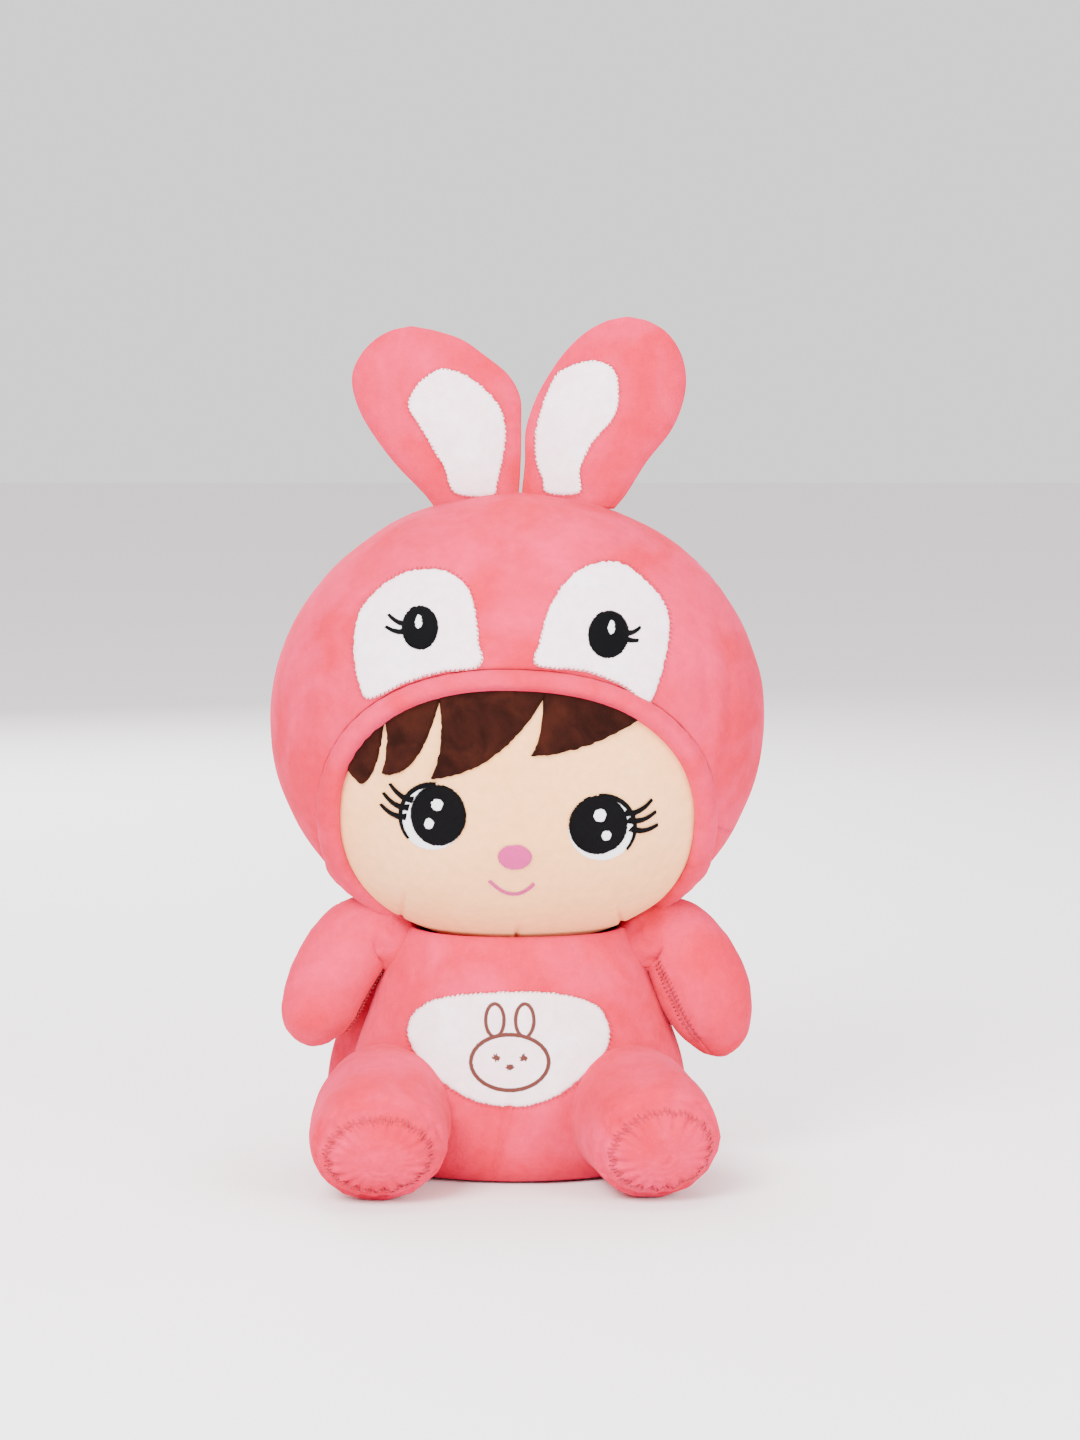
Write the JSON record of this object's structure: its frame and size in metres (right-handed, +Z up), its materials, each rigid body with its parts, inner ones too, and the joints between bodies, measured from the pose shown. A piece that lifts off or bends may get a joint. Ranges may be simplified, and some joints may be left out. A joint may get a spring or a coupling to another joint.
{
  "type": "plush doll in a rabbit suit",
  "caption": "Seated plush doll in a pink hooded rabbit suit: embroidered face, upright bending ears, soft arms and legs that lift, and a head that turns and nods.",
  "frame": {"origin": "middle of the flat seat base, on the surface the doll sits on", "axes": "+Z up, the doll looks along -Y, +X is on the right of someone who faces it"},
  "size_m": [0.2228, 0.1918, 0.3825],
  "materials": {
    "pink_plush": "matte",
    "white_plush": "matte",
    "face_cloth": "matte",
    "brown_plush": "matte",
    "black_thread": "matte",
    "white_thread": "matte",
    "pink_thread": "matte",
    "brown_thread": "matte",
    "polyester_stuffing": "matte",
    "label_ribbon": "matte"
  },
  "bodies": {
    "torso": {"belly_embroidery": "brown_thread", "belly_patch": "white_plush", "care_label": "label_ribbon", "seat_base_panel": "pink_plush", "tail_puff": "pink_plush", "torso_back_left_panel": "pink_plush", "torso_back_right_panel": "pink_plush", "torso_front_panel": "pink_plush", "torso_stuffing": "polyester_stuffing"},
    "neck": {"neck_stuffing": "polyester_stuffing"},
    "head": {"face_panel": "face_cloth", "fringe_far_left_lock": "brown_plush", "fringe_left_lock": "brown_plush", "fringe_middle_lock": "brown_plush", "fringe_right_lock": "brown_plush", "head_stuffing": "polyester_stuffing", "hood_back_left_panel": "pink_plush", "hood_back_right_panel": "pink_plush", "hood_brim_band": "pink_plush", "hood_front_panel": "pink_plush", "hood_left_eye_embroidery": "black_thread", "hood_left_eye_glint": "white_thread", "hood_left_eye_patch": "white_plush", "hood_right_eye_embroidery": "black_thread", "hood_right_eye_glint": "white_thread", "hood_right_eye_patch": "white_plush", "left_eye_glints": "white_thread", "left_eye_iris": "black_thread", "left_eye_lashes": "black_thread", "left_eye_white": "white_thread", "mouth_embroidery": "pink_thread", "nose_embroidery": "pink_thread", "right_eye_glints": "white_thread", "right_eye_iris": "black_thread", "right_eye_lashes": "black_thread", "right_eye_white": "white_thread"},
    "left_ear": {"left_ear_back_panel": "pink_plush", "left_ear_batting": "polyester_stuffing", "left_ear_front_panel": "pink_plush", "left_ear_lining": "white_plush"},
    "right_ear": {"right_ear_back_panel": "pink_plush", "right_ear_batting": "polyester_stuffing", "right_ear_front_panel": "pink_plush", "right_ear_lining": "white_plush"},
    "left_arm": {"left_arm_back_panel": "pink_plush", "left_arm_front_panel": "pink_plush", "left_arm_stuffing": "polyester_stuffing"},
    "right_arm": {"right_arm_back_panel": "pink_plush", "right_arm_front_panel": "pink_plush", "right_arm_stuffing": "polyester_stuffing"},
    "left_leg": {"left_foot_sole": "pink_plush", "left_leg_skin": "pink_plush", "left_leg_stuffing": "polyester_stuffing"},
    "right_leg": {"right_foot_sole": "pink_plush", "right_leg_skin": "pink_plush", "right_leg_stuffing": "polyester_stuffing"}
  },
  "joints": [
    {"name": "neck_turn", "type": "hinge", "parent": "torso", "child": "neck", "pos_m": [0, 0, 0.098], "axis": [0, 0, 1], "range_deg": [-20, 20], "stiffness_Nm_per_rad": 1.2},
    {"name": "head_nod", "type": "hinge", "parent": "neck", "child": "head", "pos_m": [0, 0, 0.098], "axis": [1, 0, 0], "range_deg": [-10, 7], "stiffness_Nm_per_rad": 1.6},
    {"name": "left_ear_bend", "type": "hinge", "parent": "head", "child": "left_ear", "pos_m": [-0.0185, 0, 0.31], "axis": [1, 0, 0], "range_deg": [-40, 40], "stiffness_Nm_per_rad": 0.06},
    {"name": "right_ear_bend", "type": "hinge", "parent": "head", "child": "right_ear", "pos_m": [0.0255, 0, 0.31], "axis": [1, 0, 0], "range_deg": [-40, 40], "stiffness_Nm_per_rad": 0.06},
    {"name": "left_arm_lift", "type": "hinge", "parent": "torso", "child": "left_arm", "pos_m": [-0.064, -0.002, 0.0965], "axis": [0, 1, 0], "range_deg": [0, 60], "stiffness_Nm_per_rad": 0.06},
    {"name": "right_arm_lift", "type": "hinge", "parent": "torso", "child": "right_arm", "pos_m": [0.064, -0.002, 0.0965], "axis": [0, -1, 0], "range_deg": [0, 60], "stiffness_Nm_per_rad": 0.06},
    {"name": "left_leg_lift", "type": "hinge", "parent": "torso", "child": "left_leg", "pos_m": [-0.06, -0.038, 0.0345], "axis": [-1, 0, 0], "range_deg": [0, 20], "stiffness_Nm_per_rad": 0.25},
    {"name": "right_leg_lift", "type": "hinge", "parent": "torso", "child": "right_leg", "pos_m": [0.051, -0.036, 0.0345], "axis": [-0.9735, -0.2286, 0], "range_deg": [0, 20], "stiffness_Nm_per_rad": 0.25}
  ]
}
